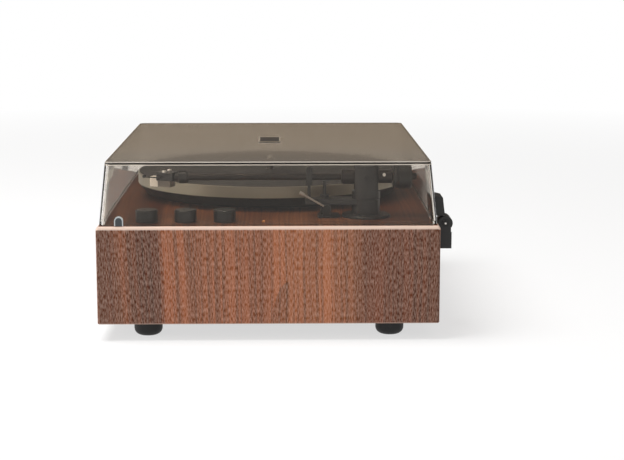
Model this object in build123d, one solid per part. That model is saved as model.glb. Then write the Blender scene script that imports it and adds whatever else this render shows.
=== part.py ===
from build123d import *
import math
import os

os.makedirs("parts", exist_ok=True)

# Sizes are millimetres. Shapes are drawn with z = 0 on the top of the deck, X to the right side,
# Y to the back, and X = Y = 0 at the middle of the plinth. save() then lifts them onto the feet.

# Plinth
plinth_w = 420.0
plinth_d = 345.0
plinth_h = 100.0
wall = 12.0
edge_round = 4.0
corner_round = 2.0
panel_t = 5.0
panel_lip = 8.0
screw_edge = 4.5

# Feet
foot_h = 17.0
foot_r = 14.5
foot_inset = 32.0
foot_y = 124.0
flange_r = 16.0
flange_t = 1.5

# Dust cover
cover_gap = 0.4
cover_h = 63.3
cover_t = 3.0
cover_base_w = 414.0
cover_base_d = 340.0
cover_top_w = 394.0
cover_top_d = 327.6
cover_base_corner = 9.0
cover_top_corner = 7.0
cover_edge_round = 1.2
bead_h = 3.0
bead_t = 1.0
bumper_y = -149.4
bumper_w = 9.0
bumper_h = 9.5
badge_w = 48.0
badge_d = 24.0
badge_t = 1.0

# Cover hinges
hinge_x = 150.0
hinge_back = 9.9
hinge_z = -5.7
knuckle_r = 7.5
knuckle_w = 14.0
ear_t = 4.0
ear_gap = 0.3
pin_r = 2.5
bracket_depth = 6.5
bracket_screw_drops = (12.3, 21.8)

# Platter, its drive and its bearing
platter_x = -26.5
platter_r = 150.0
platter_top = 27.4
rim_h = 12.5
mat_r = 148.2
mat_t = 2.4
mat_proud = 0.4
spindle_r = 3.6
spindle_seat_r = 4.6
spindle_top = 41.0
shaft_r = 4.0
run_fit = 0.05
slip_fit = 0.1
sub_r = 80.0
pulley_r = 7.55
belt_t = 1.0
belt_w = 5.0
belt_gap = 0.3
motor_x = -86.5
motor_y = 80.0
motor_r = 20.0

# Tonearm
arm_x = 148.0
arm_y = 100.7
arm_z = 41.5
base_r = 25.0
base_t = 3.0
column_r = 14.3
column_top = 19.5
yoke_r = 14.7
yoke_top = 54.0
yoke_slot = 8.4
tube_r = 3.6
tube_front = -82.8
collar_l = 10.0
collar_r = 6.7
head_angle = 23.0
head_l = 22.0
head_w = 18.0
head_wall = 1.5
block_front = 75.0
block_back = 127.6
tail_end = 153.1
tail_r = 3.6
weight_r = 12.6
weight_l = 19.0
weight_gap = 0.8
sleeve_r = 6.0
record_t = 2.0

# Cueing lift and arm rest
lift_r = 43.5
lift_post_angle = 10.0
lift_w = 3.0
lift_h = 3.0
lift_gap = 0.35
lift_travel = 5.0
lever_x = 160.3
lever_y = 60.0
lever_z = 10.7
lever_l = 30.0
lever_angle = 30.0
rest_y = 41.7
bracket_z = 13.5
bracket_t = 5.5

# Controls on the deck
knob_x = 182.0
knob_y = -123.5
knob_pitch = 39.5
knob_r = 11.3
knob_h = 13.0
stem_r = 3.0
lamp_r = 1.6

# Speakers at the front and sockets at the back
speaker_x = 120.0
speaker_z = -51.0
speaker_r = 33.0
cone_r = 28.0
grille_w = 372.0
grille_h = 66.0
plate_w = 132.0
plate_h = 52.0
plate_z = -56.0
plate_t = 2.0
rca_r = 4.15
rca_l = 8.0

deck_height = foot_h + plinth_h
hinge_y = max(plinth_d, cover_base_d) / 2 + hinge_back
hinge_overhang = hinge_y + knuckle_r - plinth_d / 2
record_top = platter_top + mat_proud + record_t


def save(name, shape):
    place = Pos(0, -hinge_overhang / 2, deck_height)
    export_step(place * shape, "parts/" + name + ".step")


def block(x0, x1, y0, y1, z0, z1):
    return Pos((x0 + x1) / 2, (y0 + y1) / 2, (z0 + z1) / 2) * Box(x1 - x0, y1 - y0, z1 - z0)


def post(x, y, z0, z1, r):
    return Pos(x, y, (z0 + z1) / 2) * Cylinder(r, z1 - z0)


def bar_x(y, z, x0, x1, r):
    return Pos((x0 + x1) / 2, y, z) * Rot(0, 90, 0) * Cylinder(r, abs(x1 - x0))


def bar_y(x, z, y0, y1, r):
    return Pos(x, (y0 + y1) / 2, z) * Rot(90, 0, 0) * Cylinder(r, abs(y1 - y0))


def turned(x, y, profile):
    face = make_face(Polyline(*[(r, 0, z) for r, z in profile], close=True))
    return Pos(x, y, 0) * revolve(face, Axis.Z)


def turned_y(x, z, profile):
    # A turned piece lying along Y: the profile lists radius and Y.
    face = make_face(Polyline(*[(r, 0, -y) for r, y in profile], close=True))
    return Pos(x, 0, z) * Rot(90, 0, 0) * revolve(face, Axis.Z)


def side_plate(x0, x1, points):
    # A prism across X whose outline lists Y and Z.
    face = make_face(Polyline(*[(x0, y, z) for y, z in points], close=True))
    return extrude(face, amount=x1 - x0, dir=(1, 0, 0))


def screw(r_head, h_head, r_shank, l_shank):
    # Head below z = 0, cross recess in its lower face, shank upwards.
    body = Pos(0, 0, -h_head / 2) * Cylinder(r_head, h_head)
    body = chamfer(body.faces().sort_by(Axis.Z)[0].edges(), h_head * 0.3)
    slot = Box(r_head * 1.1, r_head * 0.28, h_head)
    body -= Pos(0, 0, -h_head) * (slot + Rot(0, 0, 90) * slot)
    return body + Pos(0, 0, l_shank / 2) * Cylinder(r_shank, l_shank)


# The plinth: a wrapped board box, open below
half_w = plinth_w / 2
half_d = plinth_d / 2
inner_w = half_w - wall
inner_d = half_d - wall
knob_ys = [knob_y + i * knob_pitch for i in range(3)]
lamp_y = knob_y + 3 * knob_pitch
foot_places = [(x, y) for x in (-half_w + foot_inset, half_w - foot_inset) for y in (-foot_y, foot_y)]
screw_x = inner_w + panel_lip - screw_edge
screw_y = inner_d + panel_lip - screw_edge
panel_screw_places = [(x, y) for x in (-screw_x, 0, screw_x) for y in (-screw_y, screw_y)]
panel_screw_places += [(-screw_x, 0), (screw_x, 0)]
motor_screw_xs = [motor_x - 28, motor_x + 28]

cabinet = block(-half_w, half_w, -half_d, half_d, -plinth_h, 0)
cabinet = fillet(cabinet.edges().filter_by(Axis.Z), corner_round)
cabinet = fillet(cabinet.faces().sort_by(Axis.Z)[-1].edges(), edge_round)
cabinet = chamfer(cabinet.faces().sort_by(Axis.Z)[0].edges(), 1.0)
cabinet -= block(-inner_w, inner_w, -inner_d, inner_d, -plinth_h, -wall)
cabinet -= block(
    -inner_w - panel_lip, inner_w + panel_lip, -inner_d - panel_lip, inner_d + panel_lip,
    -plinth_h, -plinth_h + panel_t,
)
cabinet -= block(
    -grille_w / 2, grille_w / 2, -half_d, -inner_d, speaker_z - grille_h / 2, speaker_z + grille_h / 2
)
cabinet -= block(
    -plate_w / 2, plate_w / 2, half_d - plate_t, half_d, plate_z - plate_h / 2, plate_z + plate_h / 2
)
cabinet -= block(
    -plate_w / 2 + 6, plate_w / 2 - 6, inner_d, half_d, plate_z - plate_h / 2 + 6, plate_z + plate_h / 2 - 6
)
cabinet -= post(platter_x, 0, -wall, 0, 9.0)
cabinet -= post(motor_x, motor_y, -wall, 0, 12.0)
cabinet -= post(arm_x, arm_y, -wall, 0, 9.5)
cabinet -= post(knob_x, lamp_y, -wall, 0, lamp_r + slip_fit)
for y in knob_ys:
    cabinet -= post(knob_x, y, -wall, 0, stem_r + 0.5)
for x in motor_screw_xs:
    cabinet -= post(x, motor_y, -wall, -wall + 8, 1.6)
for x, y in panel_screw_places:
    cabinet -= post(x, y, -plinth_h, -plinth_h + 16, 1.6)
for side in (-1, 1):
    for drop in bracket_screw_drops:
        cabinet -= bar_y(side * hinge_x, hinge_z - drop, half_d - 10, half_d, 1.6)
save("plinth_cabinet", cabinet)

# The bottom panel with vents, its screws and the feet
panel = block(
    -inner_w - panel_lip + 0.5, inner_w + panel_lip - 0.5, -inner_d - panel_lip + 0.5,
    inner_d + panel_lip - 0.5, -plinth_h, -plinth_h + panel_t,
)
for x, y in panel_screw_places:
    panel -= post(x, y, -plinth_h, -plinth_h + panel_t, 1.7)
    panel -= post(x, y, -plinth_h, -plinth_h + 2.0, 3.4)
for x, y in foot_places:
    panel -= post(x, y, -plinth_h, -plinth_h + panel_t, 2.1)
for i in range(7):
    panel -= block(-36 + i * 12 - 2, -36 + i * 12 + 2, 40, 90, -plinth_h, -plinth_h + panel_t)
board_z = -plinth_h + panel_t + 8.0
board_feet = [(x, y) for x in (-64, 64) for y in (103, 145)]
for x, y in board_feet:
    panel += post(x, y, -plinth_h + panel_t, board_z, 3.0)
save("bottom_panel", panel)

foot_bottom = -deck_height
flange_low = -plinth_h - flange_t
feet = []
for x, y in foot_places:
    foot = post(x, y, foot_bottom, flange_low, foot_r)
    foot = fillet(foot.faces().sort_by(Axis.Z)[0].edges(), 7.0)
    foot -= post(x, y, foot_bottom, foot_bottom + 6.0, 3.8)
    foot -= post(x, y, foot_bottom, flange_low, 2.1)
    feet.append(foot)
save("feet", Compound(children=feet))
flanges = []
bottom_screws = [Pos(x, y, -plinth_h + 2.0) * screw(3.1, 1.8, 1.5, 13.0) for x, y in panel_screw_places]
for x, y in foot_places:
    ring = post(x, y, flange_low, -plinth_h, flange_r)
    ring = chamfer(ring.faces().sort_by(Axis.Z)[0].edges(), 0.5)
    flanges.append(ring - post(x, y, flange_low, -plinth_h, 2.1))
    bottom_screws.append(Pos(x, y, foot_bottom + 6.0) * screw(3.5, 2.5, 2.0, 15.0))
save("foot_flanges", Compound(children=flanges))
save("bottom_screws", Compound(children=bottom_screws))

# Speakers behind a cloth grille in the front wall
grille_top = speaker_z + grille_h / 2 - 0.5
grille_low = speaker_z - grille_h / 2 + 0.5
grille_side = grille_w / 2 - 0.5
cloth_front = -half_d + 1.2
cloth_t = 0.8
frame_front = cloth_front + cloth_t
frame = block(-grille_side, grille_side, frame_front, -inner_d, grille_low, grille_top)
grille_bar = 6.0
middle_w = 104.0
for side in (-1, 1):
    x0, x1 = sorted((side * (middle_w / 2 + 8), side * (grille_side - grille_bar)))
    frame -= block(x0, x1, frame_front, -inner_d, grille_low + grille_bar, grille_top - grille_bar)
frame -= block(
    -middle_w / 2, middle_w / 2, frame_front, -inner_d, grille_low + grille_bar, grille_top - grille_bar
)
save("grille_frame", frame)
save("grille_cloth", block(-grille_side, grille_side, cloth_front, frame_front, grille_low, grille_top))

baffle_back = -inner_d + 8.0
baffle = block(-inner_w + 4, inner_w - 4, -inner_d, baffle_back, -plinth_h + panel_t + 2, -wall - 2)
for side in (-1, 1):
    baffle -= bar_y(side * speaker_x, speaker_z, -inner_d, baffle_back, cone_r + 1.0)
save("speaker_baffle", baffle)
baskets = []
cones = []
for side in (-1, 1):
    x = side * speaker_x
    basket = turned_y(x, speaker_z, [
        (cone_r + 0.5, baffle_back), (speaker_r, baffle_back), (speaker_r, baffle_back + 2.5),
        (cone_r + 2, baffle_back + 2.5), (16, baffle_back + 20), (16, baffle_back + 22),
        (20, baffle_back + 22), (20, baffle_back + 34), (0, baffle_back + 34), (0, baffle_back + 20),
        (13, baffle_back + 20), (cone_r, baffle_back + 2),
    ])
    baskets.append(basket)
    cone = turned_y(x, speaker_z, [
        (0, baffle_back + 13), (8, baffle_back + 15), (10, baffle_back + 17),
        (cone_r - 3, baffle_back + 1), (cone_r - 1.5, baffle_back), (cone_r, baffle_back + 1.4),
        (cone_r - 3, baffle_back + 2.6), (11, baffle_back + 19), (0, baffle_back + 19.8),
    ])
    cones.append(cone)
save("speaker_baskets", Compound(children=baskets))
save("speaker_cones", Compound(children=cones))

# Connector plate, sockets and the circuit board behind them
rca_xs = [-46.0, -26.0]
rca_z = plate_z
inlet_x = 44.0
plate = block(
    -plate_w / 2 + 0.3, plate_w / 2 - 0.3, half_d - plate_t, half_d,
    plate_z - plate_h / 2 + 0.3, plate_z + plate_h / 2 - 0.3,
)
for x in rca_xs:
    plate -= bar_y(x, rca_z, half_d - plate_t, half_d, 3.2)
plate -= bar_y(inlet_x, rca_z, half_d - plate_t, half_d, 5.7)
for x in (-plate_w / 2 + 3, plate_w / 2 - 3):
    plate -= bar_y(x, rca_z, half_d - plate_t, half_d, 1.5)
save("connector_plate", plate)
rings = [
    bar_y(x, rca_z, half_d, half_d + 1.5, 6.2) - bar_y(x, rca_z, half_d, half_d + 1.5, 3.1) for x in rca_xs
]
save("socket_rings", Compound(children=rings))
sleeves = []
for x in rca_xs:
    sleeve = turned_y(x, rca_z, [
        (1.6, half_d - 8), (3.1, half_d - 8), (3.1, half_d + 1.5), (rca_r, half_d + 1.5),
        (rca_r, half_d + 1.5 + rca_l), (1.6, half_d + 1.5 + rca_l),
    ])
    sleeves.append(sleeve)
save("socket_sleeves", Compound(children=sleeves))
inlet = bar_y(inlet_x, rca_z, half_d - 14, half_d + 1.0, 5.6) - bar_y(
    inlet_x, rca_z, half_d - 11, half_d + 1.0, 3.1
)
inlet += bar_y(inlet_x, rca_z, half_d - 11, half_d - 1.0, 1.0)
save("power_inlet", inlet)
rear_screws = []
for x in (-plate_w / 2 + 3, plate_w / 2 - 3):
    head = bar_y(x, rca_z, half_d, half_d + 1.6, 2.6)
    head -= Pos(x, half_d + 1.6, rca_z) * (Box(3.0, 1.4, 0.7) + Box(0.7, 1.4, 3.0))
    rear_screws.append(head + bar_y(x, rca_z, half_d - plate_t, half_d, 1.4))

board = block(-70, 70, 98, 150, board_z, board_z + 1.6)
for x, y in board_feet:
    board -= post(x, y, board_z, board_z + 1.6, 1.6)
save("circuit_board", board)
board_top = board_z + 1.6
board_parts = [post(x, 110, board_top, board_top + 16, 5.0) for x in (-40, -26, 30)]
board_parts.append(block(-10, 10, 104, 110, board_top, board_top + 24))
board_parts += [block(-10, 10, 110.0 + i * 5, 111.5 + i * 5, board_top, board_top + 24) for i in range(1, 4)]
board_parts.append(block(38, 58, 104, 124, board_top, board_top + 18))
save("board_parts", Compound(children=board_parts))

# Dust cover: a drafted open box with a bead inside its lower edge


def cover_solid(inside, z0, z1):
    # The drafted box between two levels, drawn in from the outer skin by a distance.
    sections = []
    for z in (z0, z1):
        part_up = (z - cover_gap) / (cover_h - cover_gap)
        w = cover_base_w + (cover_top_w - cover_base_w) * part_up
        d = cover_base_d + (cover_top_d - cover_base_d) * part_up
        r = cover_base_corner + (cover_top_corner - cover_base_corner) * part_up
        sections.append(
            Pos(0, 0, z) * RectangleRounded(w - 2 * inside, d - 2 * inside, max(r - inside, 1.0))
        )
    return loft(sections)


cover = cover_solid(0, cover_gap, cover_h)
cover = fillet(cover.faces().sort_by(Axis.Z)[-1].edges(), cover_edge_round)
cover -= cover_solid(cover_t, cover_gap + bead_h, cover_h - cover_t)
cover -= cover_solid(cover_t + bead_t, cover_gap, cover_gap + bead_h)
notch_r = bumper_w / 2 + 0.1
notch_mid = bumper_h - bumper_w / 2
for side in (-1, 1):
    x0, x1 = sorted((side * (cover_base_w / 2 - 9), side * (cover_base_w / 2 + 1)))
    cover -= bar_x(bumper_y, notch_mid, x0, x1, notch_r)
    cover -= block(x0, x1, bumper_y - notch_r, bumper_y + notch_r, 0, notch_mid)
save("dust_cover", cover)

bumpers = []
for side in (-1, 1):
    x0, x1 = sorted((side * (cover_base_w / 2 - 5.5), side * (cover_base_w / 2 + 0.8)))
    bumper = bar_x(bumper_y, notch_mid, x0, x1, bumper_w / 2)
    bumper += block(x0, x1, bumper_y - bumper_w / 2, bumper_y + bumper_w / 2, 0.1, notch_mid)
    bumpers.append(bumper)
save("bumpers", Compound(children=bumpers))

badge_rim = 1.2
badge = Pos(0, 0, cover_h) * extrude(RectangleRounded(badge_w, badge_d, 2.0), badge_t)
badge_field = RectangleRounded(badge_w - 2 * badge_rim, badge_d - 2 * badge_rim, 1.0)
badge -= Pos(0, 0, cover_h + badge_t - 0.4) * extrude(badge_field, 0.4)
save("cover_badge", badge)


def skin_y(z):
    # How far back the cover's rear wall stands at a height.
    return (cover_base_d + (cover_top_d - cover_base_d) * (z - cover_gap) / (cover_h - cover_gap)) / 2


# Hinges: a socket on the cover, a bracket on the plinth and a pin through both
ear_in = knuckle_w / 2 + ear_gap
ear_out = ear_in + ear_t
socket_low = hinge_z + knuckle_r + 1.0
socket_back = hinge_y - 1.0
bracket_back = hinge_y + bracket_depth
bracket_low = hinge_z - bracket_screw_drops[1] - 4.5
ear_low = hinge_z - knuckle_r - 2.0
seat_y = bracket_back - 6.9
sockets = []
brackets = []
for side in (-1, 1):
    x = side * hinge_x
    socket = side_plate(x - 14, x + 14, [
        (skin_y(socket_low), socket_low), (skin_y(24.5), 24.5), (socket_back - 2.3, 21.8), (socket_back, socket_low),
    ])
    socket = fillet(socket.edges().filter_by(Axis.X).sort_by(Axis.Z)[-2:], 1.2)
    for rib in (-9, -3, 3, 9):
        groove = side_plate(x + rib - 0.8, x + rib + 0.8, [
            (socket_back - 1.0, 6.0), (socket_back - 3.1, 20.0), (socket_back + 0.6, 20.0), (socket_back + 2.6, 6.0),
        ])
        socket -= groove
    knuckle = bar_x(hinge_y, hinge_z, x - knuckle_w / 2, x + knuckle_w / 2, knuckle_r)
    knuckle += block(x - knuckle_w / 2, x + knuckle_w / 2, hinge_y - 5.8, socket_back, hinge_z, socket_low)
    knuckle -= bar_x(hinge_y, hinge_z, x - knuckle_w / 2, x + knuckle_w / 2, pin_r + run_fit)
    sockets.append(socket + knuckle)

    bracket = block(x - 15, x + 15, half_d, half_d + 4, bracket_low - 4, ear_low + 3.2)
    bracket += block(x - ear_out, x + ear_out, half_d, bracket_back, bracket_low, ear_low)
    for turn in (-1, 1):
        e0, e1 = sorted((x + turn * ear_in, x + turn * ear_out))
        bracket += bar_x(hinge_y, hinge_z, e0, e1, knuckle_r)
        bracket += block(e0, e1, hinge_y - 5.8, hinge_y + 5.8, ear_low, hinge_z)
    bracket -= bar_x(hinge_y, hinge_z, x - ear_out, x + ear_out, pin_r + 0.02)
    for drop in bracket_screw_drops:
        bracket -= bar_y(x, hinge_z - drop, half_d, bracket_back, 1.7)
        bracket -= bar_y(x, hinge_z - drop, seat_y, bracket_back, 3.6)
    brackets.append(bracket)
save("hinge_sockets", Compound(children=sockets))
save("hinge_brackets", Compound(children=brackets))
pins = []
for side in (-1, 1):
    x = side * hinge_x
    pin = bar_x(hinge_y, hinge_z, x - ear_out, x + ear_out, pin_r)
    for turn in (-1, 1):
        p0, p1 = sorted((x + turn * ear_out, x + turn * (ear_out + 1.2)))
        pin += bar_x(hinge_y, hinge_z, p0, p1, 3.6)
    pins.append(pin)
    for drop in bracket_screw_drops:
        z = hinge_z - drop
        head = bar_y(x, z, seat_y, seat_y + 2.2, 3.3)
        head -= Pos(x, seat_y + 2.2, z) * (Box(4, 1.6, 0.9) + Box(0.9, 1.6, 4))
        rear_screws.append(head + bar_y(x, z, half_d - 9, seat_y, 1.5))
save("hinge_pins", Compound(children=pins))
save("rear_screws", Compound(children=rear_screws))

# Platter, mat, sub-platter, spindle and the bearing they turn in
mat_floor = platter_top + mat_proud - mat_t
web_low = 20.0
platter = turned(platter_x, 0, [
    (spindle_seat_r + run_fit, web_low), (spindle_seat_r + run_fit, mat_floor), (mat_r + 0.3, mat_floor),
    (mat_r + 0.3, platter_top), (platter_r - 1.0, platter_top), (platter_r - 0.3, platter_top - 0.3),
    (platter_r, platter_top - 1.0), (platter_r, platter_top - rim_h), (platter_r - 9, 4.0),
    (platter_r - 14, 4.0), (platter_r - 14, 17.0), (platter_r - 17, web_low),
])
save("platter", platter)
mat = post(platter_x, 0, mat_floor, mat_floor + mat_t, mat_r)
mat -= post(platter_x, 0, mat_floor, mat_floor + mat_t, spindle_seat_r + 0.2)
mat -= post(platter_x, 0, mat_floor + mat_t - 0.4, mat_floor + mat_t, 51.0)
save("platter_mat", mat)

flange_top = 5.0
hub_r = 5.0
sub = turned(platter_x, 0, [
    (hub_r + run_fit, flange_top), (14, flange_top), (14, 15.5), (sub_r - 4, 15.5), (sub_r - 4, 6.0),
    (sub_r, 6.0), (sub_r, 15.0), (sub_r + 1.2, 16.0), (sub_r + 1.2, 17.0), (sub_r, web_low),
    (hub_r + run_fit, web_low),
])
for i in range(6):
    sub -= Pos(platter_x, 0, 0) * Rot(0, 0, 30 + 60 * i) * Pos(47, 0, 18) * Cylinder(13, 5)
save("sub_platter", sub)
seat_top = mat_floor + mat_t
spindle = turned(platter_x, 0, [
    (0, -46.0), (shaft_r, -46.0), (shaft_r, 4.0), (9.0, 4.0), (9.0, flange_top), (hub_r, flange_top),
    (hub_r, web_low), (spindle_seat_r, web_low), (spindle_seat_r, seat_top), (spindle_r, seat_top),
    (spindle_r, spindle_top - 2.5), (2.6, spindle_top - 0.9),
    (1.2, spindle_top - 0.1), (0, spindle_top),
])
save("spindle", spindle)
housing = turned(platter_x, 0, [
    (0, -52.0), (8.0, -52.0), (8.0, 0.0), (18.0, 0.0), (18.0, 3.0), (shaft_r + run_fit, 3.0),
    (shaft_r + run_fit, -46.2), (0, -46.2),
])
save("bearing_housing", housing)
washer = turned(platter_x, 0, [(8.3, -wall - 6), (15.0, -wall - 6), (15.0, -wall), (8.3, -wall)])

# Motor, pulley and belt
belt_low = 8.0
motor = post(motor_x, motor_y, -42.0, -wall - 2, motor_r)
motor = fillet(motor.faces().sort_by(Axis.Z)[0].edges(), 3.0)
motor += post(motor_x, motor_y, -wall - 2, -wall + 3, 4.0)
motor -= post(motor_x, motor_y, -24.0, -wall + 3, 1.5 + run_fit)
save("motor", motor)
mount = Pos(motor_x, motor_y, -wall - 1) * extrude(RectangleRounded(70, 46, 8), 1.0, both=True)
mount -= post(motor_x, motor_y, -wall - 2, -wall, 4.0 + slip_fit)
for x in motor_screw_xs:
    mount -= post(x, motor_y, -wall - 2, -wall, 1.7)
save("motor_plate", mount)
save("motor_screws", Compound(children=[
    Pos(x, motor_y, -wall - 2) * screw(3.2, 2.0, 1.5, 9.0) for x in motor_screw_xs
]))
pulley = turned(motor_x, motor_y, [
    (0, -23.5), (1.5, -23.5), (1.5, belt_low - 2), (pulley_r + 1.6, belt_low - 2),
    (pulley_r + 1.6, belt_low - 1), (pulley_r, belt_low - 0.6), (pulley_r, belt_low + belt_w + 0.6),
    (pulley_r + 1.6, belt_low + belt_w + 1), (pulley_r + 1.6, belt_low + belt_w + 2),
    (0, belt_low + belt_w + 2),
])
save("motor_pulley", pulley)


def belt_outline(grow):
    # The straight-sided loop around sub-platter and pulley, grown outwards.
    big = sub_r + grow
    small = pulley_r + grow
    dx = motor_x - platter_x
    dy = motor_y
    span = math.hypot(dx, dy)
    lean = math.asin((big - small) / span)
    reach = span * math.cos(lean)
    tangent = (big - small) / span
    u = (dx / span, dy / span)
    v = (-u[1], u[0])
    points = []
    for side in (1, -1):
        nx = u[0] * tangent + side * v[0] * math.cos(lean)
        ny = u[1] * tangent + side * v[1] * math.cos(lean)
        points.append(((platter_x + big * nx, big * ny), (motor_x + small * nx, motor_y + small * ny)))
    corners = make_face(Polyline(points[0][0], points[0][1], points[1][1], points[1][0], close=True))
    loop = corners + Pos(platter_x, 0) * Circle(big) + Pos(motor_x, motor_y) * Circle(small)
    return loop


belt_face = belt_outline(belt_gap + belt_t) - belt_outline(belt_gap)
save("drive_belt", Pos(0, 0, belt_low) * extrude(belt_face, belt_w))

# Tonearm base: a disc on the deck, the fixed column through it and a nut below
disc = post(arm_x, arm_y, 0, base_t, base_r)
disc = fillet(disc.faces().sort_by(Axis.Z)[-1].edges(), 1.0)
disc -= post(arm_x, arm_y, 0, base_t, 9.0 + slip_fit)
save("arm_base", disc)
ring_r = 12.8
column = turned(arm_x, arm_y, [
    (5.0 + run_fit, -30), (9.0, -30), (9.0, base_t), (column_r, base_t), (column_r, bracket_z),
    (ring_r, bracket_z), (ring_r, column_top), (5.0 + run_fit, column_top),
])
save("arm_column", column)
nut = Pos(arm_x, arm_y, -wall - 6) * extrude(RegularPolygon(15, 6), 6)
nut -= post(arm_x, arm_y, -wall - 6, -wall, 9.0 + slip_fit)
save("deck_nuts", Compound(children=[washer, nut]))

# The bracket that carries the cueing lift's guide and the arm rest
lift_x = arm_x - lift_r * math.sin(math.radians(lift_post_angle))
lift_y = arm_y - lift_r * math.cos(math.radians(lift_post_angle))
guide_r = 4.5
bracket_face = make_face(Polyline(
    (arm_x - 11, arm_y - 8), (lift_x - 6, lift_y + 4), (lift_x - 6, lift_y - 4), (arm_x - 3, rest_y - 4),
    (arm_x + 5, rest_y - 4), (arm_x + 6, lift_y + 6), (arm_x + 11, arm_y - 8), close=True,
))
bracket_face += Pos(arm_x, arm_y) * Circle(ring_r + 1.6)
bracket_face -= Pos(arm_x, arm_y) * Circle(ring_r + slip_fit)
bracket_face -= Pos(lift_x, lift_y) * Circle(guide_r + slip_fit)
bracket = Pos(0, 0, bracket_z) * extrude(bracket_face, bracket_t)
rest_x = arm_x + 1.5
bracket -= post(rest_x, rest_y, bracket_z, bracket_z + bracket_t, 1.6 + slip_fit)
save("arm_bracket", bracket)

rest_low = arm_z - tube_r - lift_gap
prong_in = arm_x + tube_r + 0.45
rest = post(rest_x, rest_y, bracket_z, rest_low - 3.5, 1.6)
rest += block(arm_x - 3.5, prong_in + 4.0, rest_y - 3.1, rest_y + 3.1, rest_low - 4.0, rest_low)
prong = block(prong_in, prong_in + 4.0, rest_y - 3.1, rest_y + 3.1, rest_low, 52.5)
prong = fillet(prong.edges().filter_by(Axis.X).sort_by(Axis.Z)[-2:], 2.0)
save("arm_rest", rest + prong)

# Cueing base on the deck, its lever and the curved lift
cue = Pos(146, 62, 0) * extrude(RectangleRounded(31, 22.5, 4), 1.5)
cue += post(lift_x, lift_y, 1.5, 22.0, guide_r)
cue += block(152, lever_x - 0.3, lever_y - 4, lever_y + 4, 1.5, bracket_z - 0.2)
cue -= post(lift_x, lift_y, 3.0, 22.0, 1.8 + run_fit)
cue -= bar_x(lever_y, lever_z, 153.5, lever_x - 0.3, 1.5 + run_fit)
save("cue_base", cue)

lever = bar_x(lever_y, lever_z, 154.0, lever_x, 1.5)
lever += bar_x(lever_y, lever_z, lever_x, lever_x + 3.4, 3.2)
rod_mid = lever_l / 2 + 1.5
swing = Pos(lever_x + 1.8, lever_y, lever_z) * Rot(-lever_angle, 0, 0)
lever += swing * Pos(0, -rod_mid, 0) * Rot(90, 0, 0) * Cylinder(1.0, lever_l - 3)
lever += swing * Pos(0, -lever_l, 0) * Rot(90, 0, 0) * Cylinder(1.9, 5.0)
save("cue_lever", lever)

lift_top = arm_z - tube_r - lift_gap
arc_face = Circle(lift_r + lift_w / 2) - Circle(lift_r - lift_w / 2)
far = lift_r * 2
start_a = math.radians(-90 + 5)
end_a = math.radians(-90 - 46)
mid_a = math.radians(-90 - 20)
wedge = make_face(Polyline(
    (0, 0), (far * math.cos(start_a), far * math.sin(start_a)),
    (far * 1.4 * math.cos(mid_a), far * 1.4 * math.sin(mid_a)),
    (far * math.cos(end_a), far * math.sin(end_a)), close=True,
))
lift = Pos(arm_x, arm_y, lift_top - lift_h) * extrude(arc_face & wedge, lift_h)
lift += post(lift_x, lift_y, 4.0 + lift_travel, lift_top - 0.5, 1.8)
save("lift_bar", lift)

# Yoke that swings, with its pivot screws
yoke = post(arm_x, arm_y, column_top + 0.3, yoke_top, yoke_r)
yoke -= block(arm_x - yoke_slot, arm_x + yoke_slot, arm_y - 20, arm_y + 20, 27.0, yoke_top)
yoke = fillet(yoke.faces().sort_by(Axis.Z)[-2:].edges(), 0.8)
yoke += post(arm_x, arm_y, -25.0, column_top + 0.3, 5.0)
yoke -= bar_x(arm_y, arm_z, arm_x - yoke_r, arm_x + yoke_r, 1.9 + 0.02)
save("arm_yoke", yoke)
pivots = []
for side in (-1, 1):
    s0, s1 = sorted((arm_x + side * 5.2, arm_x + side * yoke_r))
    h0, h1 = sorted((arm_x + side * yoke_r, arm_x + side * (yoke_r + 1.2)))
    head = bar_x(arm_y, arm_z, h0, h1, 2.8)
    head -= Pos(arm_x + side * (yoke_r + 1.2), arm_y, arm_z) * Box(1.2, 6.0, 0.8)
    pivots.append(head + bar_x(arm_y, arm_z, s0, s1, 1.9))
save("pivot_screws", Compound(children=pivots))

# The arm itself: bearing block, tube, tail and locking collar
bore_depth = 6.0
arm_block = turned_y(arm_x, arm_z, [
    (0, block_front), (7.0, block_front), (7.8, block_front + 0.8), (7.8, 87.5), (7.4, 88.0),
    (7.4, 113.0), (6.9, 113.5), (6.9, block_back - 0.8), (6.1, block_back), (0, block_back),
])
arm_block -= bar_y(arm_x, arm_z, block_front, block_front + bore_depth, tube_r + run_fit)
arm_block -= bar_y(arm_x, arm_z, block_back - bore_depth, block_back, tail_r + run_fit)
for side in (-1, 1):
    s0, s1 = sorted((arm_x + side * 5.0, arm_x + side * 9.0))
    arm_block -= bar_x(arm_y, arm_z, s0, s1, 1.9 + run_fit)
clamp_y = 119.0
clamp_z = arm_z + 2.6
arm_block -= bar_x(clamp_y, clamp_z, arm_x + 4.8, arm_x + 9.0, 1.7)
save("arm_block", arm_block)
arm_screws = [bar_x(clamp_y, clamp_z, arm_x + 4.8, arm_x + 7.4, 1.6)]
tube = bar_y(arm_x, arm_z, tube_front - 3, block_front + bore_depth, tube_r)
tube -= bar_y(arm_x, arm_z, tube_front - 3, block_front + bore_depth, tube_r - 0.8)
save("arm_tube", tube)
tail = bar_y(arm_x, arm_z, block_back - bore_depth, tail_end, tail_r)
tail = chamfer(tail.faces().sort_by(Axis.Y)[-1].edges(), 0.6)
save("arm_tail", tail)
collar_front = tube_front - collar_l
collar = turned_y(arm_x, arm_z, [
    (0, collar_front), (collar_r - 0.6, collar_front), (collar_r, collar_front + 0.8),
    (collar_r, tube_front - 2.6), (collar_r - 1.4, tube_front), (0, tube_front),
])
collar -= bar_y(arm_x, arm_z, tube_front - 3, tube_front, tube_r + run_fit)
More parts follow.
